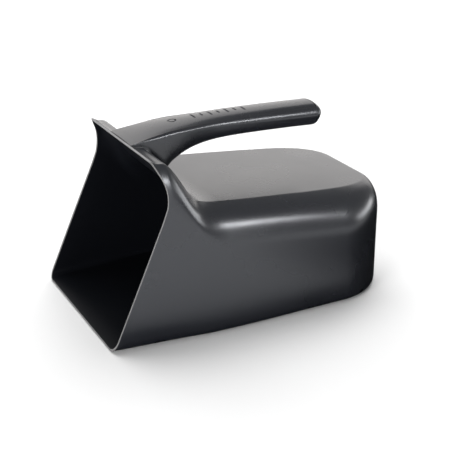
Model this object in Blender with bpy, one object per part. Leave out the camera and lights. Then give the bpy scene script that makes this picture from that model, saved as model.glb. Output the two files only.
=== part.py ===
"""Hand scoop: a moulded bucket with a raised hood and lip, and an open-ended handle over its deck.

Metres, +Z up, X across the scoop. The mouth faces -Y and the floor stands on Z = 0. The shapes are
worked out from the middle of the mouth's bottom edge, and an empty then centres them on the origin.
"""

import math

import bmesh
import bpy

MM = 0.001

# Bucket in plan
LENGTH = 213.5 * MM  # over the top of the rear wall, which leans out
FLOOR_LENGTH = 211 * MM
MOUTH_HALF = 62 * MM
BELLY_HALF = 69 * MM
BELLY_Y = 108 * MM
CORNER_RADIUS = 44 * MM
SIDE_LEAN = 0.058  # how far the side walls lean in for each unit of height
REAR_LEAN = 0.045  # and how far the rear wall leans out

# Bucket in side view
WALL = 2.2 * MM
FLOOR_FILLET = 7.5 * MM
DECK_START_Y = 81 * MM
DECK_START_Z = 83 * MM
DECK_SLOPE = -0.085

# Mouth: its sides lean back, then bend round to lean forward at the lip
MOUTH_LEAN = math.radians(24.2)
MOUTH_BEND_Z = 84.5 * MM
MOUTH_BEND_RADIUS = 31 * MM
LIP_Z = 118 * MM

# Shoulder: the round band between the upright wall and the edge of the deck or hood
EDGE_INSET_LIP = 9.3 * MM
EDGE_INSET_DECK = 16 * MM
EDGE_INSET_REAR = 8 * MM
EDGE_TILT_LIP = math.radians(44)
EDGE_TILT_DECK = math.radians(24)
SHOULDER_DROP = 27.5 * MM
SHOULDER_DROP_REAR = 16 * MM
ROUND_LEG = 0.6  # share of each leg that makes a cubic follow a round arc

# Handle ends
HANDLE_END_Y = 180 * MM
HANDLE_END_RADIUS = 8 * MM
GRIP_START_Y = 86 * MM
ROOT_ROUNDNESS = 7.0  # exponent of the underside's oval: a high one is nearly square
GRIP_ROUNDNESS = 2.6
ROOT_GAP = 0.75 * MM  # measured upright, which leaves 0.3 mm square to the steep hood

# Handle cover, its rebate and the pockets beneath it
SEAM = 0.35 * MM
REBATE_EDGE = 0.9 * MM
REBATE_DEPTH = 1.6 * MM
POCKETS = 6
POCKET_FRONT_Y = 70 * MM
POCKET_END_Y = 174 * MM
POCKET_TOP_HALF = 11 * MM
POCKET_FLOOR_HALF = 8 * MM
POCKET_FLOOR = 2.4 * MM
RIB = 1.8 * MM
CLEAR = 5 * MM  # how far a cutter stands out of what it cuts

# Resolution
FILLET_STEPS = 4
WALL_STEPS = 2
SHOULDER_STEPS = 6
HOOD_STEPS = 10
SIDE_STEPS = 3
CORNER_STEPS = 8
REAR_STEPS = 2
HANDLE_STEPS = 8
END_STEPS = 4
UNDERSIDE_STEPS = 12
CROWN_STEPS = 6
MOUTH_TRIES = 30  # halvings that settle where a row of the section meets the mouth

# Finish
SHARP_ANGLE = math.radians(35)
BLUE_TINT = 1.06

def smooth(share):
    """A soft ramp from 0 to 1."""
    share = min(max(share, 0.0), 1.0)
    return share * share * (3 - 2 * share)


def along(profile, y):
    """The value at y of a smooth curve through points (y, value, slope)."""
    if y <= profile[0][0]:
        return profile[0][1]
    for (y0, v0, s0), (y1, v1, s1) in zip(profile, profile[1:]):
        if y <= y1:
            span = y1 - y0
            t = (y - y0) / span
            from_start = (1 + 2 * t) * (1 - t) ** 2 * v0 + t * (1 - t) ** 2 * span * s0
            from_end = t * t * (3 - 2 * t) * v1 - t * t * (1 - t) * span * s1
            return from_start + from_end
    return profile[-1][1]


def mouth_y(z):
    """How far back the mouth's side edge is at a height."""
    lean = math.tan(MOUTH_LEAN)
    bend_y = MOUTH_BEND_Z * lean
    bend_top = MOUTH_BEND_Z + 2 * MOUTH_BEND_RADIUS * math.sin(MOUTH_LEAN)
    if z <= MOUTH_BEND_Z:
        return z * lean
    if z >= bend_top:
        return bend_y - (z - bend_top) * lean
    sine = math.sin(MOUTH_LEAN) - (z - MOUTH_BEND_Z) / MOUTH_BEND_RADIUS
    return bend_y + MOUTH_BEND_RADIUS * (math.sqrt(1 - sine * sine) - math.cos(MOUTH_LEAN))


LIP_Y = mouth_y(LIP_Z)
HOOD_PITCH = (DECK_START_Y - LIP_Y) / HOOD_STEPS
HANDLE_FRONT_Y = LIP_Y + HOOD_PITCH
COVER_FRONT_Y = LIP_Y + 3 * HOOD_PITCH

# Side profiles as (y, z, slope)
HOOD_PROFILE = (
    (LIP_Y, LIP_Z, -0.45),
    (43.5 * MM, 114.7 * MM, -0.42),
    (50 * MM, 107.3 * MM, -1.4),
    (58 * MM, 95 * MM, -1.45),
    (67 * MM, 86.2 * MM, -0.45),
    (DECK_START_Y, DECK_START_Z, DECK_SLOPE),
)
HANDLE_EDGE = (
    (LIP_Y, 117.8 * MM, 0.17),
    (59 * MM, 121.4 * MM, 0.12),
    (84 * MM, 122.5 * MM, 0.01),
    (HANDLE_END_Y, 120.6 * MM, -0.03),
)
HANDLE_UNDERSIDE = (
    (60 * MM, 93.2 * MM, 1.7),
    (67 * MM, 100.4 * MM, 0.6),
    (87 * MM, 107.6 * MM, 0.2),
    (115 * MM, 110.2 * MM, 0.03),
    (HANDLE_END_Y, 108.8 * MM, -0.04),
)
# The handle's half width and the rise of its crown, as (y, size, slope)
HANDLE_HALF = (
    (LIP_Y, 16.8 * MM, 0.0),
    (68 * MM, 16.4 * MM, -0.02),
    (100 * MM, 14.2 * MM, 0.0),
)
HANDLE_CROWN = (
    (LIP_Y, 0.6 * MM, 0.1),
    (62 * MM, 3.5 * MM, 0.0),
)


def roof_z(y):
    """Height of the hood, and of the sloping deck behind it."""
    if y >= DECK_START_Y:
        return DECK_START_Z + DECK_SLOPE * (y - DECK_START_Y)
    return along(HOOD_PROFILE, y)


def hood_share(y):
    """1 at the lip, 0 where the deck starts."""
    return 1 - smooth((y - LIP_Y) / (DECK_START_Y - LIP_Y))


def wall_half(y):
    """Half width between the side walls at floor level."""
    return BELLY_HALF - (BELLY_HALF - MOUTH_HALF) * max(0.0, 1 - y / BELLY_Y) ** 2


def section(edge_y, edge_inset, drop=SHOULDER_DROP):
    """The bucket's outer section from its floor to the edge of its roof, as (inset, z) pairs."""
    rows = []
    for i in range(FILLET_STEPS):
        turn = math.pi / 2 * i / FILLET_STEPS
        rows.append((FLOOR_FILLET * (1 - math.sin(turn)), FLOOR_FILLET * (1 - math.cos(turn))))
    hood = hood_share(edge_y)
    edge_z = roof_z(edge_y)
    deck_z = DECK_START_Z + DECK_SLOPE * (edge_y - DECK_START_Y)
    level_z = deck_z + hood * (LIP_Z - deck_z)
    wall_z = level_z - drop
    for i in range(WALL_STEPS):
        rows.append((0.0, FLOOR_FILLET + (wall_z - FLOOR_FILLET) * i / WALL_STEPS))
    tilt = EDGE_TILT_DECK + hood * (EDGE_TILT_LIP - EDGE_TILT_DECK)
    knee_z = edge_z - edge_inset * math.tan(tilt)
    legs = (
        (0.0, wall_z),
        (0.0, wall_z + ROUND_LEG * (knee_z - wall_z)),
        (edge_inset * (1 - ROUND_LEG), edge_z + ROUND_LEG * (knee_z - edge_z)),
        (edge_inset, edge_z),
    )
    for i in range(SHOULDER_STEPS + 1):
        t = i / SHOULDER_STEPS
        weights = ((1 - t) ** 3, 3 * t * (1 - t) ** 2, 3 * t * t * (1 - t), t**3)
        inset = sum(weight * leg[0] for weight, leg in zip(weights, legs))
        height = sum(weight * leg[1] for weight, leg in zip(weights, legs))
        rows.append((inset, height))
    return rows


def side_column(share):
    """A column of the side wall: 0 at the mouth, 1 where the deck starts."""
    points = []
    rows = len(section(LIP_Y, EDGE_INSET_LIP))
    for row in range(rows):
        front_y = LIP_Y
        for _ in range(MOUTH_TRIES):
            front_y = (front_y + mouth_y(section(max(front_y, LIP_Y), EDGE_INSET_LIP)[row][1])) / 2
        y = front_y + (DECK_START_Y - front_y) * share
        hood = hood_share(max(y, LIP_Y))
        edge_inset = EDGE_INSET_DECK + hood * (EDGE_INSET_LIP - EDGE_INSET_DECK)
        inset, z = section(max(y, LIP_Y), edge_inset)[row]
        points.append((wall_half(y) - inset - SIDE_LEAN * z, y, z))
    return points


def plain_column(y):
    """A column of the side wall beside the deck."""
    return [(wall_half(y) - inset - SIDE_LEAN * z, y, z) for inset, z in section(y, EDGE_INSET_DECK)]


def corner_column(turn):
    """A column of the round rear corner: turn 0 faces sideways, a quarter turn faces the rear."""
    rear_share = smooth(turn / (math.pi / 2))
    edge_inset = EDGE_INSET_DECK + (EDGE_INSET_REAR - EDGE_INSET_DECK) * rear_share
    drop = SHOULDER_DROP + (SHOULDER_DROP_REAR - SHOULDER_DROP) * rear_share
    corner_y = FLOOR_LENGTH - CORNER_RADIUS
    reach = FLOOR_LENGTH - edge_inset + REAR_LEAN * DECK_START_Z
    edge_y = corner_y + (reach - corner_y) * math.sin(turn)
    points = []
    for inset, z in section(edge_y, edge_inset, drop):
        radius = CORNER_RADIUS - inset
        x = BELLY_HALF - SIDE_LEAN * z - CORNER_RADIUS + radius * math.cos(turn)
        points.append((x, corner_y + (radius + REAR_LEAN * z) * math.sin(turn), z))
    return points


def bucket_columns():
    """Columns of one half of the bucket, from the mouth round to the middle of the rear wall."""
    columns = [side_column(i / HOOD_STEPS) for i in range(HOOD_STEPS)]
    corner_y = FLOOR_LENGTH - CORNER_RADIUS
    for i in range(SIDE_STEPS):
        columns.append(plain_column(DECK_START_Y + (corner_y - DECK_START_Y) * i / SIDE_STEPS))
    for i in range(CORNER_STEPS + 1):
        columns.append(corner_column(math.pi / 2 * i / CORNER_STEPS))
    rear = columns[-1]
    for i in range(1, REAR_STEPS + 1):
        columns.append([(x * (1 - i / REAR_STEPS), y, z) for x, y, z in rear])
    return columns


def black_plastic(name, grey, roughness):
    material = bpy.data.materials.new(name)
    material.use_nodes = True
    shader = material.node_tree.nodes["Principled BSDF"]
    shader.inputs["Base Color"].default_value = (grey, grey, grey * BLUE_TINT, 1)
    shader.inputs["Roughness"].default_value = roughness
    shader.inputs["Metallic"].default_value = 0
    return material


def add_object(name, shape, material, parent):
    """An object that takes over the bmesh, shaded smooth apart from its sharp edges."""
    mesh = bpy.data.meshes.new(name)
    bmesh.ops.recalc_face_normals(shape, faces=shape.faces)
    shape.to_mesh(mesh)
    shape.free()
    mesh.shade_smooth()
    mesh.set_sharp_from_angle(angle=SHARP_ANGLE)
    if material:
        mesh.materials.append(material)
    made = bpy.data.objects.new(name, mesh)
    made.parent = parent
    bpy.context.collection.objects.link(made)
    return made


def build_bucket(parent):
    """The bucket: one skin from floor to roof, thickened inwards."""
    half = bucket_columns()
    mirrored = [[(-x, y, z) for x, y, z in column] for column in reversed(half[:-1])]
    shape = bmesh.new()
    columns = [[shape.verts.new(point) for point in column] for column in half + mirrored]
    for left, right in zip(columns, columns[1:]):
        for row in range(len(left) - 1):
            shape.faces.new((left[row], right[row], right[row + 1], left[row + 1]))
    end = len(half) - REAR_STEPS - 2
    for row in (0, -1):
        for i in range(end):
            near, near_next = columns[i][row], columns[i + 1][row]
            shape.faces.new((near, near_next, columns[-2 - i][row], columns[-1 - i][row]))
        shape.faces.new([column[row] for column in columns[end : len(columns) - end]])
    bucket = add_object("bucket_shell", shape, black_plastic("bucket_plastic", 0.03, 0.4), parent)
    wall = bucket.modifiers.new("wall", "SOLIDIFY")
    wall.thickness = WALL
    wall.offset = -1
    wall.use_even_offset = True
    wall.use_quality_normals = True
    return bucket


def handle_half(y, end_y, end_radius):
    """Half width of the handle, or of a piece set into it, with round corners at its free end."""
    half = along(HANDLE_HALF, y)
    past = y - (end_y - end_radius)
    if past <= 0:
        return half
    return half - end_radius + math.sqrt(max(0.0, end_radius**2 - past**2))


def handle_ys(front_y, end_y, end_radius):
    """Places of the handle's sections: in step with the hood's over it, closer round the free end."""
    straight_end = end_y - end_radius
    ys = [front_y]
    while ys[-1] + HOOD_PITCH < DECK_START_Y:
        ys.append(ys[-1] + HOOD_PITCH)
    for i in range(HANDLE_STEPS):
        ys.append(DECK_START_Y + (straight_end - DECK_START_Y) * i / HANDLE_STEPS)
    for i in range(END_STEPS + 1):
        ys.append(straight_end + end_radius * math.sin(math.pi / 2 * i / END_STEPS))
    return ys


def crown_points(y, half):
    """The handle's top from +X to -X: a shallow crown between its edges."""
    full = along(HANDLE_HALF, y)
    rise = along(HANDLE_CROWN, y)
    points = []
    for i in range(CROWN_STEPS + 1):
        x = half * (1 - 2 * i / CROWN_STEPS)
        points.append((x, y, along(HANDLE_EDGE, y) + rise * (1 - (x / full) ** 2)))
    return points


def underside_points(y, half):
    """The handle's sides and underside from -X to +X: half an oval, nearly square at the root."""
    edge_z = along(HANDLE_EDGE, y)
    bottom_z = max(along(HANDLE_UNDERSIDE, y), roof_z(y) + ROOT_GAP)
    grip = smooth((y - HANDLE_FRONT_Y) / (GRIP_START_Y - HANDLE_FRONT_Y))
    roundness = ROOT_ROUNDNESS + (GRIP_ROUNDNESS - ROOT_ROUNDNESS) * grip
    points = []
    for i in range(1, UNDERSIDE_STEPS):
        turn = math.pi * i / UNDERSIDE_STEPS
        across = math.copysign(abs(math.cos(turn)) ** (2 / roundness), -math.cos(turn))
        drop = math.sin(turn) ** (2 / roundness)
        points.append((half * across, y, edge_z - (edge_z - bottom_z) * drop))
    return points


def loft(rings):
    """A closed solid through rings of points, with a flat face at each end."""
    shape = bmesh.new()
    loops = [[shape.verts.new(point) for point in ring] for ring in rings]
    for first, second in zip(loops, loops[1:]):
        for i in range(len(first)):
            j = (i + 1) % len(first)
            shape.faces.new((first[i], first[j], second[j], second[i]))
    shape.faces.new(reversed(loops[0]))
    shape.faces.new(loops[-1])
    return shape


def inset_rings(edge, front_y, crown, depth):
    """Rings of the cover, or of the cutter for its rebate, set in from the handle's edge."""
    end_y = HANDLE_END_Y - edge
    end_radius = HANDLE_END_RADIUS - edge
    rings = []
    for y in handle_ys(front_y, end_y, end_radius):
        half = handle_half(y, end_y, end_radius) - edge
        floor_z = along(HANDLE_EDGE, y) - depth
        if crown:
            top = crown_points(y, half)
        else:
            top = [(half, y, floor_z + depth + CLEAR), (-half, y, floor_z + depth + CLEAR)]
        rings.append(top + [(-half, y, floor_z), (half, y, floor_z)])
    return rings


def cut(target, shape, name, parent):
    """Takes a shape away from the target."""
    cutter = add_object(name, shape, None, parent)
    cutter.hide_render = True
    cutter.display_type = "WIRE"
    away = target.modifiers.new(name, "BOOLEAN")
    away.operation = "DIFFERENCE"
    away.solver = "EXACT"
    away.object = cutter


def pocket_rings(front_y, end_y):
    """One pocket between two ribs: upright ends and sides that draw in towards its floor."""
    floor_z = max(along(HANDLE_UNDERSIDE, front_y), along(HANDLE_UNDERSIDE, end_y)) + POCKET_FLOOR
    top_z = along(HANDLE_EDGE, front_y) + CLEAR
    reach = (top_z - floor_z) / (along(HANDLE_EDGE, front_y) - floor_z)
    top_half = POCKET_FLOOR_HALF + (POCKET_TOP_HALF - POCKET_FLOOR_HALF) * reach
    floor_half = POCKET_FLOOR_HALF
    ring = ((top_half, top_z), (-top_half, top_z), (-floor_half, floor_z), (floor_half, floor_z))
    return [[(x, y, z) for x, z in ring] for y in (front_y, end_y)]


def build_handle(parent):
    """The handle's body: a D section with a rebate for the cover and ribbed pockets under it."""
    rings = []
    for y in handle_ys(HANDLE_FRONT_Y, HANDLE_END_Y, HANDLE_END_RADIUS):
        half = handle_half(y, HANDLE_END_Y, HANDLE_END_RADIUS)
        rings.append(crown_points(y, half) + underside_points(y, half))
    body = add_object("handle_body", loft(rings), black_plastic("handle_plastic", 0.03, 0.4), parent)
    rebate = loft(inset_rings(REBATE_EDGE, COVER_FRONT_Y - SEAM, False, REBATE_DEPTH))
    cut(body, rebate, "rebate_cutter", parent)
    pitch = (POCKET_END_Y - POCKET_FRONT_Y) / POCKETS
    for i in range(POCKETS):
        front_y = POCKET_FRONT_Y + pitch * i
        cut(body, loft(pocket_rings(front_y, front_y + pitch - RIB)), f"pocket_cutter_{i}", parent)


def build_cover(parent):
    """The handle's cover: a crowned strip that lies in the rebate with a fine seam round it."""
    rings = inset_rings(REBATE_EDGE + SEAM, COVER_FRONT_Y, True, REBATE_DEPTH - SEAM)
    add_object("handle_cover", loft(rings), black_plastic("cover_plastic", 0.032, 0.38), parent)


def main():
    for old in list(bpy.data.objects):
        bpy.data.objects.remove(old)
    scoop = bpy.data.objects.new("scoop", None)
    scoop.location = (0, -LENGTH / 2, 0)
    bpy.context.collection.objects.link(scoop)
    build_bucket(scoop)
    build_handle(scoop)
    build_cover(scoop)


main()
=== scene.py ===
"""Looks for the hand scoop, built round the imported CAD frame.

The scoop's own shapes are worked out in millimetres from the middle of the mouth's bottom edge, with
the mouth facing -Y, and placed in the frame by the box of the CAD bucket. The studio is in metres.
"""
import math

import bmesh
import bpy
import numpy as np
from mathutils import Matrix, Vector


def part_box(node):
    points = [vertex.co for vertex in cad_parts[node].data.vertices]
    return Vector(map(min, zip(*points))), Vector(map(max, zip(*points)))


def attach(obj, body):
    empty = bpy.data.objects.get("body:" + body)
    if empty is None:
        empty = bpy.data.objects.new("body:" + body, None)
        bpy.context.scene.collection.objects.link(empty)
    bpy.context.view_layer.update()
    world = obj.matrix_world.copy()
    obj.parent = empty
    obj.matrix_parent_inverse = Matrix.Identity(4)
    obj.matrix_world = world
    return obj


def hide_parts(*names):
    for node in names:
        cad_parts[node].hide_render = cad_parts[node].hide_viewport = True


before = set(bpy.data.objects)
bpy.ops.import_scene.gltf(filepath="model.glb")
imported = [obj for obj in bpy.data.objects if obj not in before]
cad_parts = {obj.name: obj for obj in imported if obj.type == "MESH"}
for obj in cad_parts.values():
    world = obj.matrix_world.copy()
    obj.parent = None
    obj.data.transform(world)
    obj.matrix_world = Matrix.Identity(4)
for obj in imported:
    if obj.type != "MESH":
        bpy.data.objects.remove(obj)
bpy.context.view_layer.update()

MM = 0.001
BUCKET_LOW, BUCKET_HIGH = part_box("bucket_shell")

# Bucket seen from above
FLOOR_LENGTH = 211.0
MOUTH_HALF = 62.0
BELLY_HALF = 69.0
BELLY_Y = 108.0
CORNER_RADIUS = 44.0
SIDE_LEAN = 0.058  # the sides lean in as they rise
REAR_LEAN = 0.045  # the rear wall leans out

# Bucket in side view
WALL = 2.2
DECK_START_Y = 81.0
DECK_START_Z = 83.0
DECK_SLOPE = -0.085

# Fillet at the foot of the walls
FLOOR_FILLET = 7.5  # at the mouth
FLOOR_FILLET_REAR = 5.0
FLOOR_FILLET_FADE = 40.0  # how far behind the lip it reaches its rear size

# Mouth: its sides lean back, then bend round to lean forward at the lip
MOUTH_LEAN = math.radians(24.2)
MOUTH_BEND_Z = 84.5
MOUTH_BEND_RADIUS = 31.0
LIP_Z = 118.0

# Shoulder: the round band between the upright wall and the edge of the deck or hood
EDGE_INSET_LIP = 9.3
EDGE_INSET_DECK = 16.0
EDGE_INSET_REAR = 8.0
EDGE_CURVE_Y = 95.0  # the deck narrows behind here
EDGE_CURVE = 5.0  # by this much on each side over EDGE_CURVE_LENGTH
EDGE_CURVE_LENGTH = 100.0
EDGE_CURVE_CORNER = 1.0  # and by this much more for each radian round the rear corner
EDGE_CORNER_POWER = 1.3  # above 1, the corner's inset starts to change late
EDGE_TILT_LIP = math.radians(44)
EDGE_TILT_DECK = math.radians(24)
SHOULDER_DROP = 27.5
SHOULDER_DROP_REAR = 16.0
ROUND_LEG = 0.68  # share of each leg that pulls the shoulder's curve towards its corner

# Fine edges, which the CAD model leaves sharp
RIM_BULGE = 0.35
RIM_SQUARENESS = 3  # 2 would be a plain oval
RIM_WALL = 1.4
RIM_TAPER = 14.0  # the wall thins over this distance from the mouth
DECK_EDGE_ROUND = 0.8
HOOD_EDGE_ROUND = 5.5
HOOD_EDGE_START = 12.0  # behind the lip, where the hood's rounder edge starts to fade
HOOD_EDGE_FADE = 36.0
EDGE_ROOM = 0.45  # largest share of a neighbouring face that an edge's round takes

# Handle
HANDLE_START = 0.5  # behind the lip
HANDLE_END_Y = 179.2
HANDLE_END_RADIUS = 5.0  # of the tip's corners, seen from above
WIDENING_Y = 60.0  # its rounded edge and the rim beside its cover widen from here to the tip
GRIP_START_Y = 86.0
ROOT_LENGTH = 16.0  # behind the lip, where the root's section starts to turn into the grip's
ROOT_ROUNDNESS = 4.5  # exponent of the underside's oval: a high one is nearly square
GRIP_ROUNDNESS = 3.2
ROOT_SINK = 1.1  # how deep the handle's foot is sunk into the hood's wall
FOOT_FILLET = 3.2
FOOT_FILLET_SHARE = 0.45  # largest share of the handle's side that the fillet takes
EDGE_ROUND_ROOT = 2.1
EDGE_ROUND_TIP = 4.2
EDGE_ROUND_START = 2.0  # behind the lip, where the upper edge is still sharp
EDGE_ROUND_FADE = 20.0
SIDE_TAPER = 0.13  # the grip's sides lean in towards its underside
GRIP_SAG = 1.0  # how much deeper the grip is than in the CAD model
GRIP_SAG_Y = 85.0
GRIP_SAG_FADE = 60.0
TIP_BOTTOM_ROUND = 3.0
TIP_SHEAR = 0.3  # the tip's end face leans back under the handle
TIP_SHEAR_LENGTH = 22.0

# Handle cover and the rebate that it lies in
COVER_FRONT = 6.0  # behind the lip
SEAM = 0.55
SEAM_FRONT = 0.04
SEAM_FADE = 25.0
RIDGE_LIP = 1.5  # width of the handle's rim beside the cover, at the lip
RIDGE_TIP = 3.4
REBATE_DEPTH = 1.6
COVER_GAP = 0.2  # beneath the cover
COVER_SHOULDER = 3.4  # width of the cover's rounded sides
COVER_DROP = 1.0  # how far those sides fall
COVER_DROP_FADE = 110.0
CUTTER_HEIGHT = 12.0  # enough to stand clear of the handle

# Marks on the cover: a ring, then short slots
MARKS = 7
MARK_FIRST_Y = 86.0
MARK_PITCH = 6.2
MARK_LONG = 8.0
MARK_SHORT = 5.0
MARK_WIDTH = 1.5
MARK_DEPTH = 0.35
RING_Y = 71.0
RING_OUTER = 3.0
RING_INNER = 1.9

# Resolution: how many faces each stretch has
FILLET_STEPS = 8
WALL_STEPS = 10
SHOULDER_STEPS = 22
ROUND_STEPS = 4
HOOD_STEPS = 56
SIDE_STEPS = 12
CORNER_STEPS = 36
REAR_STEPS = 3
ACROSS_STEPS = 10
RIM_STEPS = 6
HANDLE_PITCH = 1.0  # between the handle's sections over the hood
GRIP_STEPS = 45
TIP_STEPS = 12
TOP_STEPS = 44
SIDE_ROUND_STEPS = 40
COVER_STEPS = 24
SLOT_STEPS = 12
RING_CORNERS = 32
PADDING_STEP = 0.1  # share of the last face between the inner skin's extra rows
MOUTH_TRIES = 40  # halvings that settle where a row of the section meets the mouth
SLOPE_STEP = 0.05  # to each side of a place where the roof's slope is measured
RIM_SLOPE_STEP = 0.5  # behind the lip

# Faces that meet at a steeper angle than this keep a crisp edge
SHARP_ANGLE = math.radians(35)
CUT_SHARP_ANGLE = math.radians(38)

# Places of the materials on the bucket
INSIDE_SLOT = 1
RIM_SLOT = 2

# Moulded plastic
PLASTIC_HUE = (0.93, 1.03, 1.35)
PLASTIC_IOR = 1.72
PLASTIC_SPECULAR = (0.98, 1.0, 1.045, 1)
CLOUD_SCALE = 22
CLOUD_DETAIL = 3
CLOUD_DRIFT = 0.1  # how much the plastic's grey drifts from place to place
GLOSS_DRIFT = 0.025
NOISE_RANGE = (0.3, 0.7)
GRAIN_SCALE = 900
GRAIN_DETAIL = 2
GRAIN_STRENGTH = 0.05
GRAIN_DEPTH = 0.03
EDGE_HIGHLIGHT_POINTINESS = (0.53, 0.60)  # outer edges start to be painted lighter here, as a highlight, and are fully so here
EDGE_HIGHLIGHT_BRIGHTNESS = (1.9, 1.9, 1.95)

# Floor
FLOOR_SIZE = 12
FLOOR_GREY = 0.9
FLOOR_ROUGHNESS = 0.7
FLOOR_SPECULAR = 0.2
FLOOR_DROP = 0.0002  # beneath the scoop, to keep their faces apart

# Camera
CAMERA_AZIMUTH = math.radians(62.20)  # round from the mouth's side
CAMERA_ELEVATION = math.radians(23.58)
CAMERA_PLACE = (0.5822, BUCKET_LOW.y - 0.1931, 0.3252)
CAMERA_LENS = 80.06

# Lights, each (name, direction from the scoop, distance, width, height, watts, colour)
WHITE = (1, 1, 1)
WARM_WHITE = (1.0, 0.965, 0.935)
LIGHT_TARGET = (0, 0, 0.05)
WORLD_STRENGTH = 0.3
SOFT_LIGHTS = (
    ("overhead", (-0.75, 0.35, 1), 2.4, 3.2, 3.2, 101, WHITE),
    ("front_low", (0.45, -0.9, 0.08), 1.5, 0.6, 0.6, 30, WHITE),
)
REFLECTION_CARDS = (
    ("backdrop", (-0.81, 0.43, 0.36), 2.2, 3.2, 1.8, 21, WARM_WHITE),
    ("side_box", (0.90, 0.31, 0.55), 1.6, 0.95, 0.18, 12, WHITE),
    ("side_card", (0.98, 0.07, 0.12), 2.4, 2.0, 1.0, 5.4, WHITE),
    ("left_card", (-0.81, -0.58, 0.16), 1.8, 1.6, 0.5, 7, WHITE),
    ("rear_card", (0.242, 0.970, 0.14), 1.8, 1.3, 0.3, 6.5, WHITE),
)

# Flag on the floor, seen only in reflections: its darkness is painted shade of the floor behind the scoop
# and round its foot. Each pair is where a part of its darkness starts and where it is full
FLAG_SIZE = 3
FLAG_DROP = 0.0001
FLAG_INSET = 0.006  # the bucket's foot lies this far inside its box
FLAG_BEHIND_Y = (0.02, 0.14)
FLAG_BEHIND_X = (0.34, 0.16)
FLAG_FOOT_SHADOW = (0.052, 0.032)  # away from the foot
FLAG_SHADOW_FRONT_Y = (-0.112, -0.1)
FLAG_WIDE = (0.26, 0.05)  # away from the foot
FLAG_WIDE_SHARE = 0.14


def smooth(share):
    """A soft ramp from 0 to 1."""
    share = min(max(share, 0.0), 1.0)
    return share * share * (3 - 2 * share)


def blend(start, end, share):
    return start + (end - start) * share


def along(profile, y):
    """The value at y of a smooth curve through points (y, value, slope)."""
    if y <= profile[0][0]:
        return profile[0][1]
    for (y0, v0, s0), (y1, v1, s1) in zip(profile, profile[1:]):
        if y <= y1:
            span = y1 - y0
            t = (y - y0) / span
            from_start = (1 + 2 * t) * (1 - t) ** 2 * v0 + t * (1 - t) ** 2 * span * s0
            from_end = t * t * (3 - 2 * t) * v1 - t * t * (1 - t) * span * s1
            return from_start + from_end
    return profile[-1][1]


def mouth_y(z):
    """How far back the mouth's side edge is at a height."""
    lean = math.tan(MOUTH_LEAN)
    bend_y = MOUTH_BEND_Z * lean
    bend_top = MOUTH_BEND_Z + 2 * MOUTH_BEND_RADIUS * math.sin(MOUTH_LEAN)
    if z <= MOUTH_BEND_Z:
        return z * lean
    if z >= bend_top:
        return bend_y - (z - bend_top) * lean
    sine = math.sin(MOUTH_LEAN) - (z - MOUTH_BEND_Z) / MOUTH_BEND_RADIUS
    return bend_y + MOUTH_BEND_RADIUS * (math.sqrt(1 - sine * sine) - math.cos(MOUTH_LEAN))


LIP_Y = mouth_y(LIP_Z)
CORNER_Y = FLOOR_LENGTH - CORNER_RADIUS

# Side profiles as (y, z, slope)
HOOD_PROFILE = (
    (LIP_Y, LIP_Z, -0.66),
    (39, 115.7, -0.2),
    (42.3, 115.2, -0.2),
    (46, 112.4, -1.15),
    (51, 105.6, -1.5),
    (58, 94.5, -1.5),
    (63, 88.5, -0.85),
    (69, 85.2, -0.32),
    (DECK_START_Y, DECK_START_Z, DECK_SLOPE),
)
HANDLE_EDGE = (
    (LIP_Y, 117.8, 0.17),
    (59, 121.4, 0.12),
    (84, 122.5, 0.01),
    (HANDLE_END_Y, 120.6, -0.03),
)
HANDLE_UNDERSIDE = (
    (60, 93.2, 1.7),
    (67, 100.4, 0.6),
    (87, 107.6, 0.2),
    (115, 110.2, 0.03),
    (HANDLE_END_Y, 108.8, -0.04),
)

# Half the handle's width and the rise of its crown, as (y, value, slope)
HANDLE_HALF = ((LIP_Y, 16.8, 0.0), (68, 16.4, -0.02), (100, 14.2, 0.0))
HANDLE_CROWN = ((LIP_Y, 0.4, 0.03), (90, 2.9, 0.02), (150, 3.5, 0.0))


def roof_z(y):
    """Height of the hood or the deck."""
    if y >= DECK_START_Y:
        return DECK_START_Z + DECK_SLOPE * (y - DECK_START_Y)
    return along(HOOD_PROFILE, y)


def roof_slope(front_y, rear_y):
    return (roof_z(rear_y) - roof_z(front_y)) / (rear_y - front_y)


def hood_share(y):
    """1 at the lip, 0 where the deck starts."""
    return 1 - smooth((y - LIP_Y) / (DECK_START_Y - LIP_Y))


def wall_half(y):
    """Half the bucket's width at its floor."""
    return BELLY_HALF - (BELLY_HALF - MOUTH_HALF) * max(0.0, 1 - y / BELLY_Y) ** 2


def cubic(points, t):
    """The place at t on a cubic Bezier curve."""
    weights = ((1 - t) ** 3, 3 * t * (1 - t) ** 2, 3 * t * t * (1 - t), t**3)
    return tuple(sum(weight * value for weight, value in zip(weights, values)) for values in zip(*points))


def section(edge_y, edge_inset, drop=SHOULDER_DROP):
    """The bucket's outer section from its floor to the edge of its roof, as (inset, z) pairs."""
    fillet = blend(FLOOR_FILLET, FLOOR_FILLET_REAR, smooth((edge_y - LIP_Y) / FLOOR_FILLET_FADE))
    hood = hood_share(edge_y)
    edge_z = roof_z(edge_y)
    deck_z = DECK_START_Z + DECK_SLOPE * (edge_y - DECK_START_Y)
    wall_z = blend(deck_z, LIP_Z, hood) - drop
    knee_z = edge_z - edge_inset * math.tan(blend(EDGE_TILT_DECK, EDGE_TILT_LIP, hood))
    shoulder = (
        (0.0, wall_z),
        (0.0, wall_z + ROUND_LEG * (knee_z - wall_z)),
        (edge_inset * (1 - ROUND_LEG), edge_z + ROUND_LEG * (knee_z - edge_z)),
        (edge_inset, edge_z),
    )
    rows = []
    for i in range(FILLET_STEPS):
        turn = math.pi / 2 * i / FILLET_STEPS
        rows.append((fillet * (1 - math.sin(turn)), fillet * (1 - math.cos(turn))))
    for i in range(WALL_STEPS):
        rows.append((0.0, blend(fillet, wall_z, i / WALL_STEPS)))
    for i in range(SHOULDER_STEPS + 1):
        rows.append(cubic(shoulder, i / SHOULDER_STEPS))
    return rows


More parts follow.
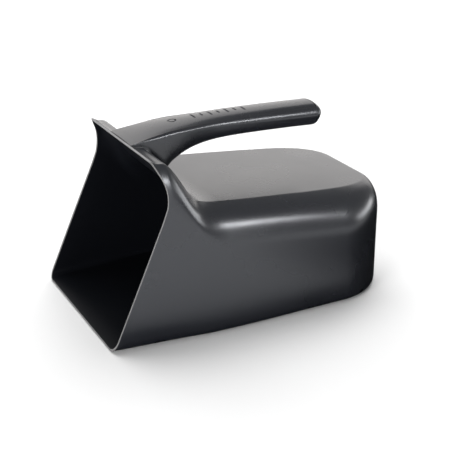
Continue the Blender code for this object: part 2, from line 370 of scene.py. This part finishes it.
def side_column(share):
    """A column of the side wall: 0 at the mouth, 1 where the deck starts."""
    points = []
    for row in range(len(section(LIP_Y, EDGE_INSET_LIP))):
        front_y = LIP_Y
        for _ in range(MOUTH_TRIES):
            height = section(max(front_y, LIP_Y), EDGE_INSET_LIP)[row][1]
            front_y = (front_y + mouth_y(height)) / 2
        y = blend(front_y, DECK_START_Y, share)
        edge_y = max(y, LIP_Y)
        edge_inset = blend(EDGE_INSET_DECK, EDGE_INSET_LIP, hood_share(edge_y))
        inset, z = section(edge_y, edge_inset)[row]
        points.append((wall_half(y) - inset - SIDE_LEAN * z, y, z))
    return points


def deck_inset(y):
    """How far the edge of the deck lies inside the wall."""
    return EDGE_INSET_DECK + EDGE_CURVE * max(0.0, (y - EDGE_CURVE_Y) / EDGE_CURVE_LENGTH) ** 2


def plain_column(y):
    """A column of the side wall behind the hood."""
    return [(wall_half(y) - inset - SIDE_LEAN * z, y, z) for inset, z in section(y, deck_inset(y))]


def corner_column(turn):
    """A column of the round rear corner: turn 0 faces sideways, a quarter turn faces the rear."""
    rear_share = smooth(turn / (math.pi / 2))
    side_inset = deck_inset(CORNER_Y) + EDGE_CURVE_CORNER * turn
    edge_inset = blend(side_inset, EDGE_INSET_REAR, rear_share**EDGE_CORNER_POWER)
    drop = blend(SHOULDER_DROP, SHOULDER_DROP_REAR, rear_share)
    reach = FLOOR_LENGTH - edge_inset + REAR_LEAN * DECK_START_Z
    edge_y = blend(CORNER_Y, reach, math.sin(turn))
    points = []
    for inset, z in section(edge_y, edge_inset, drop):
        radius = CORNER_RADIUS - inset
        x = BELLY_HALF - SIDE_LEAN * z - CORNER_RADIUS + radius * math.cos(turn)
        points.append((x, CORNER_Y + (radius + REAR_LEAN * z) * math.sin(turn), z))
    return points


def half_columns():
    """The columns of one half of the bucket, from the mouth to the middle of the rear wall."""
    columns = [side_column(i / HOOD_STEPS) for i in range(HOOD_STEPS)]
    for i in range(SIDE_STEPS):
        columns.append(plain_column(blend(DECK_START_Y, CORNER_Y, i / SIDE_STEPS)))
    for i in range(CORNER_STEPS + 1):
        columns.append(corner_column(math.pi / 2 * i / CORNER_STEPS))
    rear = columns[-1]
    for i in range(1, REAR_STEPS + 1):
        columns.append([(x * (1 - i / REAR_STEPS), y, z) for x, y, z in rear])
    return columns


def unit(vectors):
    """Each vector at length 1. One with no length stays as it is."""
    return vectors / np.maximum(np.linalg.norm(vectors, axis=-1, keepdims=True), 1e-12)


def with_rounded_edge(column):
    """The column with a small arc in place of the edge where the roof starts."""
    corner = column[-1]
    below = column[-2] - corner
    middle = corner * np.array([0, 1, 1]) - corner
    hood = 1 - smooth((corner[1] - LIP_Y - HOOD_EDGE_START) / HOOD_EDGE_FADE)
    room = EDGE_ROOM * min(np.linalg.norm(below), np.linalg.norm(middle))
    leg = max(min(blend(DECK_EDGE_ROUND, HOOD_EDGE_ROUND, hood), room), DECK_EDGE_ROUND)
    start = corner + unit(below) * leg
    end = corner + unit(middle) * leg
    arc = []
    for i in range(ROUND_STEPS + 1):
        t = i / ROUND_STEPS
        arc.append((1 - t) ** 2 * start + 2 * t * (1 - t) * corner + t * t * end)
    return np.array(list(column[:-1]) + arc)


def with_padding(column):
    """The column with as many rows as an outer column has, the extra ones close to its end."""
    last = column[-1]
    below = column[-2] - last
    extra = [last + below * PADDING_STEP * (ROUND_STEPS - i) for i in range(ROUND_STEPS + 1)]
    return np.array(list(column[:-1]) + extra)


def wall_directions(core):
    """The way that each point of the wall faces. The lowest row faces down."""
    around = np.gradient(core, axis=0)
    up = np.gradient(core, axis=1)
    up[:, 0] = core[:, 1] - core[:, 0]
    up[:, -1] = core[:, -1] - core[:, -2]
    outward = unit(np.cross(around, up))
    outward[:, 0] = (0, 0, -1)
    return outward


def roof_directions(core):
    """The way that the roof faces beside the top of each column."""
    slopes = [roof_slope(y - SLOPE_STEP, y + SLOPE_STEP) for y in core[:, -1, 1]]
    return unit(np.cross([1, 0, 0], [[0, 1, slope] for slope in slopes]))


def wall_thickness(core, half_count):
    """The wall's thickness at each point: it thins towards the rim of the mouth."""
    rim = [core[:1].repeat(half_count, 0), core[-1:].repeat(len(core) - half_count, 0)]
    from_rim = np.linalg.norm(core - np.concatenate(rim), axis=2)
    thin = np.clip(1 - from_rim / RIM_TAPER, 0, 1)[..., None] ** 2
    return blend(WALL, RIM_WALL, thin)


def bucket_grids():
    """Outer columns with their edge rounded, and inner columns one wall inside."""
    half = half_columns()
    mirrored = [[(-x, y, z) for x, y, z in column] for column in reversed(half[:-1])]
    core = np.array(half + mirrored)
    outward = wall_directions(core)
    wall = wall_thickness(core, len(half))
    inner = core - wall * outward
    wall_side = outward[:, -1]
    roof_up = roof_directions(core)
    mitre = 1 + np.sum(wall_side * roof_up, axis=1, keepdims=True)
    inner[:, -1] = core[:, -1] - wall[:, -1] * (wall_side + roof_up) / mitre
    return [with_rounded_edge(column) for column in core], [with_padding(column) for column in inner]


def strip_across(shape, right, left, steps):
    """The vertices from right to left, with new ones between those two."""
    made = []
    for i in range(1, steps):
        made.append(shape.verts.new(right.co.lerp(left.co, i / steps)))
    return [right] + made + [left]


def band(shape, first, second, slot=0):
    """A closed band of faces between two loops of vertices."""
    for i in range(len(first)):
        j = (i + 1) % len(first)
        face = shape.faces.new((first[i], first[j], second[j], second[i]))
        face.material_index = slot


def skin(shape, grid):
    """One side of the bucket's wall. Returns its border round the mouth."""
    columns = [[shape.verts.new(point) for point in column] for column in grid]
    for first, second in zip(columns, columns[1:]):
        for row in range(len(first) - 1):
            shape.faces.new((first[row], second[row], second[row + 1], first[row + 1]))
    borders = []
    for row in (-1, 0):
        strips = []
        for i in range(HOOD_STEPS + 1):
            strips.append(strip_across(shape, columns[i][row], columns[-1 - i][row], ACROSS_STEPS))
        for first, second in zip(strips, strips[1:]):
            for i in range(ACROSS_STEPS):
                shape.faces.new((first[i], second[i], second[i + 1], first[i + 1]))
        rest = [column[row] for column in columns[HOOD_STEPS + 1 : -1 - HOOD_STEPS]]
        shape.faces.new(strips[-1][::-1] + rest)
        borders.append(strips[0][1:-1])
    return columns[0] + borders[0] + columns[-1][::-1] + borders[1][::-1]


def mouth_forward(outer):
    """The way each point of the mouth's border faces, level with the wall."""
    right = unit(outer[0] - outer[1])
    left = unit(outer[-1] - outer[-2])
    slope = roof_slope(LIP_Y, LIP_Y + RIM_SLOPE_STEP)
    roof = unit(np.array([[0, -1, -slope]] * (ACROSS_STEPS - 1)))
    floor = np.array([[0, -1, 0]] * (ACROSS_STEPS - 1))
    return np.concatenate([right, roof, left[::-1], floor])


def close_rim(shape, outer_border, inner_border, forward):
    """Joins the two skins round the mouth by a rounded rim."""
    previous = outer_border
    for step in range(1, RIM_STEPS):
        across = step / RIM_STEPS
        bulge = RIM_BULGE * math.sqrt(1 - abs(2 * across - 1) ** RIM_SQUARENESS)
        row = []
        for outside, inside, ahead in zip(outer_border, inner_border, forward):
            place = outside.co.lerp(inside.co, across) + Vector(ahead) * bulge
            row.append(shape.verts.new(place))
        band(shape, previous, row, RIM_SLOT)
        previous = row
    band(shape, previous, inner_border, RIM_SLOT)


def build_bucket(outside, inside, rim):
    outer, inner = bucket_grids()
    shape = bmesh.new()
    outer_border = skin(shape, outer)
    outer_faces = len(shape.faces)
    inner_border = skin(shape, inner)
    shape.faces.ensure_lookup_table()
    for face in shape.faces[outer_faces:]:
        face.material_index = INSIDE_SLOT
    close_rim(shape, outer_border, inner_border, mouth_forward(outer))
    return add_piece("bucket", shape, [outside, inside, rim], "bucket_shell")


def in_frame(shape):
    """Millimetres from the mouth's bottom edge to metres in the frame."""
    for vert in shape.verts:
        x, y, z = vert.co
        vert.co = (x * MM, BUCKET_LOW.y + y * MM, BUCKET_LOW.z + z * MM)


def new_object(name, shape, materials):
    bmesh.ops.recalc_face_normals(shape, faces=shape.faces)
    in_frame(shape)
    mesh = bpy.data.meshes.new(name)
    shape.to_mesh(mesh)
    shape.free()
    mesh.shade_smooth()
    mesh.set_sharp_from_angle(angle=SHARP_ANGLE)
    for material in materials:
        mesh.materials.append(material)
    made = bpy.data.objects.new(name, mesh)
    bpy.context.scene.collection.objects.link(made)
    return made


def stand_in_for(piece, node):
    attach(piece, "root")
    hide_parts(node)
    return piece


def add_piece(name, shape, materials, node):
    return stand_in_for(new_object(name, shape, materials), node)


def handle_half(y, end_y, end_radius):
    """Half the width of an outline that follows the handle and ends in round corners."""
    half = along(HANDLE_HALF, y)
    past = y - (end_y - end_radius)
    if past <= 0:
        return half
    return half - end_radius + math.sqrt(max(0.0, end_radius**2 - past**2))


def handle_ys(front_y, end_y, end_radius):
    """Where the handle's sections lie: they crowd round the corners of its tip."""
    straight_end = end_y - end_radius
    ys = list(np.arange(front_y, DECK_START_Y, HANDLE_PITCH))
    ys += list(np.linspace(DECK_START_Y, straight_end, GRIP_STEPS + 1)[:-1])
    for i in range(TIP_STEPS + 1):
        ys.append(straight_end + end_radius * math.sin(math.pi / 2 * i / TIP_STEPS))
    return ys


def towards_tip(y):
    """0 over the hood, 1 at the handle's tip."""
    return smooth((y - WIDENING_Y) / (HANDLE_END_Y - WIDENING_Y))


def crown_z(x, y):
    """Height of the handle's shallow crown."""
    full = along(HANDLE_HALF, y)
    rise = along(HANDLE_CROWN, y) * (1 - (x / full) ** 2)
    return along(HANDLE_EDGE, y) + rise


def edge_round(y):
    """Radius of the handle's upper edge: sharp at the lip and widest at the tip."""
    radius = blend(EDGE_ROUND_ROOT, EDGE_ROUND_TIP, towards_tip(y))
    return smooth((y - LIP_Y - EDGE_ROUND_START) / EDGE_ROUND_FADE) * radius


def quarter_drop(distance, radius):
    """How far a quarter-round edge falls at a distance in from its outline."""
    if distance >= radius:
        return 0.0
    return radius - math.sqrt(max(0.0, radius**2 - (radius - distance) ** 2))


def outline_distance(x, y, half):
    """Distance in from the handle's outline, seen from above."""
    past = y - (HANDLE_END_Y - HANDLE_END_RADIUS)
    if past <= 0:
        return half - abs(x)
    beside = abs(x) - (along(HANDLE_HALF, y) - HANDLE_END_RADIUS)
    if beside <= 0:
        return HANDLE_END_Y - y
    return max(0.0, HANDLE_END_RADIUS - math.hypot(beside, past))


def handle_bottom(y):
    """Height of the handle's underside, whose foot follows the hood."""
    low = along(HANDLE_UNDERSIDE, y) - GRIP_SAG * smooth((y - GRIP_SAG_Y) / GRIP_SAG_FADE)
    low += quarter_drop(HANDLE_END_Y - y, TIP_BOTTOM_ROUND)
    return max(low, roof_z(y) - ROOT_SINK)


def handle_ring(y):
    """One section of the handle: its crown, then its sides and underside."""
    half = handle_half(y, HANDLE_END_Y, HANDLE_END_RADIUS)
    radius = edge_round(y)
    ring = []
    for i in range(TOP_STEPS + 1):
        x = half * math.cos(math.pi * i / TOP_STEPS)
        ring.append((x, y, crown_z(x, y) - quarter_drop(outline_distance(x, y, half), radius)))
    edge_z = along(HANDLE_EDGE, y) - radius
    depth = edge_z - handle_bottom(y)
    root_end = LIP_Y + ROOT_LENGTH
    grip = smooth((y - root_end) / (GRIP_START_Y - root_end))
    roundness = blend(ROOT_ROUNDNESS, GRIP_ROUNDNESS, grip)
    fillet = min(FOOT_FILLET, FOOT_FILLET_SHARE * max(0.0, edge_z - roof_z(y)))
    for i in range(1, SIDE_ROUND_STEPS):
        turn = math.pi * i / SIDE_ROUND_STEPS
        across = math.copysign(abs(math.cos(turn)) ** (2 / roundness), -math.cos(turn))
        drop = math.sin(turn) ** (2 / roundness)
        z = edge_z - depth * drop
        x = half * across * (1 - SIDE_TAPER * drop * grip)
        x += math.copysign(quarter_drop(max(z - roof_z(y), 0.0), fillet), x)
        ring.append((x, y, z))
    lean = TIP_SHEAR * smooth((y - HANDLE_END_Y + TIP_SHEAR_LENGTH) / TIP_SHEAR_LENGTH)
    return [(px, py - lean * max(0.0, edge_z - pz), pz) for px, py, pz in ring]


def add_loft(shape, loops):
    """Closed bands between loops of points, with a face at each end."""
    rings = [[shape.verts.new(point) for point in loop] for loop in loops]
    for first, second in zip(rings, rings[1:]):
        band(shape, first, second)
    shape.faces.new(reversed(rings[0]))
    shape.faces.new(rings[-1])


def loft(rings):
    shape = bmesh.new()
    add_loft(shape, rings)
    return shape


def applied(piece):
    """Replaces a piece's mesh by what its modifiers make of it."""
    graph = bpy.context.evaluated_depsgraph_get()
    mesh = bpy.data.meshes.new_from_object(piece.evaluated_get(graph))
    piece.modifiers.clear()
    piece.data = mesh
    mesh.shade_smooth()
    mesh.set_sharp_from_angle(angle=CUT_SHARP_ANGLE)


def cut(target, cutter):
    """Takes the cutter's shape out of the target. The cut faces get the cutter's material."""
    away = target.modifiers.new("cut", "BOOLEAN")
    away.operation = "DIFFERENCE"
    away.solver = "EXACT"
    away.material_mode = "TRANSFER"
    away.object = cutter
    applied(target)
    bpy.data.objects.remove(cutter)


def ridge(y):
    """Width of the handle's rim beside the cover."""
    return blend(RIDGE_LIP, RIDGE_TIP, towards_tip(y))


def seam_width(y):
    return blend(SEAM_FRONT, SEAM, smooth((y - LIP_Y - COVER_FRONT) / SEAM_FADE))


def rebate_ring(y, end_y, end_radius):
    """A section of the cutter that makes the rebate."""
    half = handle_half(y, end_y, end_radius) - ridge(y)
    floor_z = along(HANDLE_EDGE, y) - REBATE_DEPTH
    top_z = floor_z + CUTTER_HEIGHT
    return [(half, y, top_z), (-half, y, top_z), (-half, y, floor_z), (half, y, floor_z)]


def cover_ring(y, end_y, end_radius):
    """A section of the cover: flat beneath, crowned on top and rounded down at its sides."""
    half = handle_half(y, end_y, end_radius) - ridge(y) - seam_width(y)
    floor_z = along(HANDLE_EDGE, y) - REBATE_DEPTH + COVER_GAP
    full_drop = COVER_DROP * smooth((y - LIP_Y - COVER_FRONT) / COVER_DROP_FADE)
    ring = []
    for i in range(COVER_STEPS + 1):
        x = half * (1 - 2 * i / COVER_STEPS)
        outer_share = max(0.0, 1 - (half - abs(x)) / COVER_SHOULDER)
        ring.append((x, y, crown_z(x, y) - full_drop * outer_share**2))
    return ring + [(-half, y, floor_z), (half, y, floor_z)]


def build_handle(material):
    ys = handle_ys(LIP_Y + HANDLE_START, HANDLE_END_Y, HANDLE_END_RADIUS)
    body = new_object("handle", loft([handle_ring(y) for y in ys]), [material])
    end_y = HANDLE_END_Y - RIDGE_TIP
    end_radius = HANDLE_END_RADIUS - RIDGE_TIP
    rings = [rebate_ring(y, end_y, end_radius) for y in handle_ys(LIP_Y + COVER_FRONT, end_y, end_radius)]
    cut(body, new_object("rebate", loft(rings), [material]))
    return stand_in_for(body, "handle_body")


def mark_levels(y):
    """The floor of a mark at y, and a height well clear of the cover."""
    return crown_z(0, y) - MARK_DEPTH, along(HANDLE_EDGE, y) + CUTTER_HEIGHT


def add_slot(shape, y, length):
    """The cutter of a slot across the handle, with half-round ends."""
    radius = MARK_WIDTH / 2
    outline = []
    for side in (1, -1):
        for i in range(SLOT_STEPS + 1):
            turn = math.pi * (i / SLOT_STEPS - side / 2)
            x = side * (length / 2 - radius) + radius * math.cos(turn)
            outline.append((x, y + radius * math.sin(turn)))
    add_loft(shape, [[(px, py, z) for px, py in outline] for z in mark_levels(y)])


def add_ring(shape):
    """The cutter of a ring-shaped slot."""
    floor_z, top_z = mark_levels(RING_Y)
    loops = []
    for radius, z in (
        (RING_OUTER, floor_z),
        (RING_OUTER, top_z),
        (RING_INNER, top_z),
        (RING_INNER, floor_z),
    ):
        loop = []
        for i in range(RING_CORNERS):
            turn = math.tau * i / RING_CORNERS
            loop.append(shape.verts.new((radius * math.cos(turn), RING_Y + radius * math.sin(turn), z)))
        loops.append(loop)
    for first, second in zip(loops, loops[1:] + loops[:1]):
        band(shape, first, second)


def mark_cutter(material):
    """The cutter of all the marks: a row of short slots, long and short by turns, behind a ring."""
    shape = bmesh.new()
    for i in range(MARKS):
        add_slot(shape, MARK_FIRST_Y + MARK_PITCH * i, MARK_SHORT if i % 2 else MARK_LONG)
    add_ring(shape)
    return new_object("marks", shape, [material])


def build_cover(material, engraved):
    front = LIP_Y + COVER_FRONT + SEAM_FRONT
    end_y = HANDLE_END_Y - RIDGE_TIP - SEAM
    end_radius = HANDLE_END_RADIUS - RIDGE_TIP - SEAM
    rings = [cover_ring(y, end_y, end_radius) for y in handle_ys(front, end_y, end_radius)]
    cover = new_object("handle_cover_strip", loft(rings), [material])
    cut(cover, mark_cutter(engraved))
    return stand_in_for(cover, "handle_cover")


def moulded_plastic(name, grey, roughness, ior=PLASTIC_IOR, hue=PLASTIC_HUE):
    """Satin plastic: its grey and gloss drift from place to place, with a fine grain and a painted
    highlight that lightens outer edges.
    """
    material = bpy.data.materials.new(name)
    material.use_nodes = True
    nodes = material.node_tree.nodes
    link = material.node_tree.links.new
    shader = nodes["Principled BSDF"]
    shader.inputs["IOR"].default_value = ior
    shader.inputs["Specular Tint"].default_value = PLASTIC_SPECULAR
    place = nodes.new("ShaderNodeTexCoord")

    def noise(scale, detail):
        made = nodes.new("ShaderNodeTexNoise")
        made.inputs["Scale"].default_value = scale
        made.inputs["Detail"].default_value = detail
        link(place.outputs["Object"], made.inputs["Vector"])
        return made.outputs["Fac"]

    def ranged(source, source_range, low=0.0, high=1.0):
        made = nodes.new("ShaderNodeMapRange")
        made.inputs["From Min"].default_value = source_range[0]
        made.inputs["From Max"].default_value = source_range[1]
        made.inputs["To Min"].default_value = low
        made.inputs["To Max"].default_value = high
        link(source, made.inputs["Value"])
        return made.outputs["Result"]

    def colour_mix(share):
        made = nodes.new("ShaderNodeMix")
        made.data_type = "RGBA"
        link(share, made.inputs["Factor"])
        return made

    cloud = noise(CLOUD_SCALE, CLOUD_DETAIL)
    tint = colour_mix(cloud)
    tint.inputs["A"].default_value = [grey * channel * (1 - CLOUD_DRIFT) for channel in hue] + [1]
    tint.inputs["B"].default_value = [grey * channel * (1 + CLOUD_DRIFT) for channel in hue] + [1]
    # Painted highlight: sharp outer edges are drawn lighter.
    pointiness = nodes.new("ShaderNodeNewGeometry").outputs["Pointiness"]
    edge_highlight = colour_mix(ranged(pointiness, EDGE_HIGHLIGHT_POINTINESS))
    edge_highlight.inputs["B"].default_value = [grey * channel for channel in EDGE_HIGHLIGHT_BRIGHTNESS] + [1]
    link(tint.outputs["Result"], edge_highlight.inputs["A"])
    link(edge_highlight.outputs["Result"], shader.inputs["Base Color"])
    gloss = ranged(cloud, NOISE_RANGE, roughness - GLOSS_DRIFT, roughness + GLOSS_DRIFT)
    link(gloss, shader.inputs["Roughness"])
    bump = nodes.new("ShaderNodeBump")
    bump.inputs["Strength"].default_value = GRAIN_STRENGTH
    bump.inputs["Distance"].default_value = GRAIN_DEPTH * MM
    link(noise(GRAIN_SCALE, GRAIN_DETAIL), bump.inputs["Height"])
    link(bump.outputs["Normal"], shader.inputs["Normal"])
    return material


def ground_plane(name, size, drop, material):
    """A flat square just beneath the scoop."""
    bpy.ops.mesh.primitive_plane_add(size=size)
    plane = bpy.context.object
    plane.name = name
    plane.location.z = BUCKET_LOW.z - drop
    plane.data.materials.append(material)
    return plane


def pale_floor():
    material = bpy.data.materials.new("pale_floor")
    material.use_nodes = True
    shader = material.node_tree.nodes["Principled BSDF"]
    shader.inputs["Base Color"].default_value = (FLOOR_GREY, FLOOR_GREY, FLOOR_GREY, 1)
    shader.inputs["Roughness"].default_value = FLOOR_ROUGHNESS
    shader.inputs["Specular IOR Level"].default_value = FLOOR_SPECULAR
    floor = ground_plane("floor", FLOOR_SIZE, FLOOR_DROP, material)


def add_camera():
    """The camera stands round from the mouth's side and looks down a little."""
    back = Vector((
        math.sin(CAMERA_AZIMUTH) * math.cos(CAMERA_ELEVATION),
        -math.cos(CAMERA_AZIMUTH) * math.cos(CAMERA_ELEVATION),
        math.sin(CAMERA_ELEVATION),
    ))
    camera = bpy.data.cameras.new("camera")
    camera.lens = CAMERA_LENS
    made = bpy.data.objects.new("camera", camera)
    made.location = CAMERA_PLACE
    made.rotation_euler = back.to_track_quat("Z", "Y").to_euler()
    bpy.context.scene.collection.objects.link(made)
    bpy.context.scene.camera = made


def area_light(name, direction, distance, width, height, watts, colour):
    """A rectangular light that faces the scoop, and that the camera doesn't see."""
    light = bpy.data.lights.new(name, "AREA")
    light.shape = "RECTANGLE"
    light.size = width
    light.size_y = height
    light.energy = watts
    light.color = colour
    made = bpy.data.objects.new(name, light)
    aim = Vector(direction).normalized()
    made.location = Vector(LIGHT_TARGET) + aim * distance
    made.rotation_euler = aim.to_track_quat("Z", "Y").to_euler()
    made.visible_camera = False
    bpy.context.scene.collection.objects.link(made)
    return made


def add_lights():
    """Soft lights for matt surfaces, and cards that only show as reflections."""
    world = bpy.data.worlds.new("studio")
    world.use_nodes = True
    background = world.node_tree.nodes["Background"]
    background.inputs["Color"].default_value = (1, 1, 1, 1)
    background.inputs["Strength"].default_value = WORLD_STRENGTH
    bpy.context.scene.world = world
    for settings in SOFT_LIGHTS:
        area_light(*settings).visible_glossy = False
    for settings in REFLECTION_CARDS:
        area_light(*settings).visible_diffuse = False


def reflected_shade_material():
    """Painted shade for reflections: black behind the scoop and close round its foot, and clear
    elsewhere.
    """
    material = bpy.data.materials.new("flag")
    material.use_nodes = True
    nodes = material.node_tree.nodes
    link = material.node_tree.links.new
    nodes.remove(nodes["Principled BSDF"])
    place = nodes.new("ShaderNodeTexCoord")
    split = nodes.new("ShaderNodeSeparateXYZ")
    link(place.outputs["Object"], split.inputs["Vector"])

    def maths(operation, first, second=0):
        made = nodes.new("ShaderNodeMath")
        made.operation = operation
        for socket, value in zip(made.inputs, (first, second)):
            if isinstance(value, (int, float)):
                socket.default_value = value
            else:
                link(value, socket)
        return made.outputs[0]

    def ramp(value, limits):
        made = nodes.new("ShaderNodeMapRange")
        made.interpolation_type = "SMOOTHSTEP"
        made.inputs["From Min"].default_value = limits[0]
        made.inputs["From Max"].default_value = limits[1]
        link(value, made.inputs["Value"])
        return made.outputs["Result"]

    x, y = split.outputs["X"], split.outputs["Y"]
    beside = maths("SUBTRACT", maths("ABSOLUTE", x), BUCKET_HIGH.x - FLAG_INSET)
    beyond = maths("SUBTRACT", maths("ABSOLUTE", y), BUCKET_HIGH.y - FLAG_INSET)
    away = maths("MAXIMUM", beside, beyond)
    behind = maths("MULTIPLY", ramp(y, FLAG_BEHIND_Y), ramp(x, FLAG_BEHIND_X))
    # Painted contact shadow round the foot, seen only in the scoop's reflections.
    foot_shadow = maths("MULTIPLY", ramp(away, FLAG_FOOT_SHADOW), ramp(y, FLAG_SHADOW_FRONT_Y))
    wide = maths("MULTIPLY", ramp(away, FLAG_WIDE), FLAG_WIDE_SHARE)
    dark = maths("MAXIMUM", maths("MAXIMUM", behind, foot_shadow), wide)
    black = nodes.new("ShaderNodeBsdfDiffuse")
    black.inputs["Color"].default_value = (0, 0, 0, 1)
    mix = nodes.new("ShaderNodeMixShader")
    link(dark, mix.inputs[0])
    link(nodes.new("ShaderNodeBsdfTransparent").outputs[0], mix.inputs[1])
    link(black.outputs[0], mix.inputs[2])
    link(mix.outputs[0], nodes["Material Output"].inputs["Surface"])
    return material


def shaded_floor_flag():
    """A dark flag that lies on the floor and only shows in gloss: painted shade of the floor round the
    scoop, seen in its reflections.
    """
    flag = ground_plane("floor_flag", FLAG_SIZE, FLAG_DROP, reflected_shade_material())
    flag.visible_camera = False
    flag.visible_diffuse = False
    flag.visible_shadow = False


add_camera()
satin_black = moulded_plastic("satin_black", 0.012, 0.28)
# The inside's darker grey and weaker reflections are painted shade inside the bucket; its higher
# roughness is a matt finish.
matt_shaded_black = moulded_plastic("matt_shaded_inside", 0.005, 0.4, ior=1.15)
# The rim's lighter, warmer grey is a painted highlight along the mouth's edge, standing in for the bright
# line that the lights don't give.
rim_painted_highlight = moulded_plastic("rim_painted_highlight", 0.095, 0.42, hue=(1.05, 1.02, 1.0))
build_bucket(satin_black, matt_shaded_black, rim_painted_highlight)
build_handle(satin_black)
satin_cover = moulded_plastic("satin_black_cover", 0.013, 0.28)
engraved_black = moulded_plastic("engraved_black", 0.02, 0.5, ior=1.42)
build_cover(satin_cover, engraved_black)
pale_floor()
shaded_floor_flag()
add_lights()
bpy.context.scene.view_settings.view_transform = "Standard"
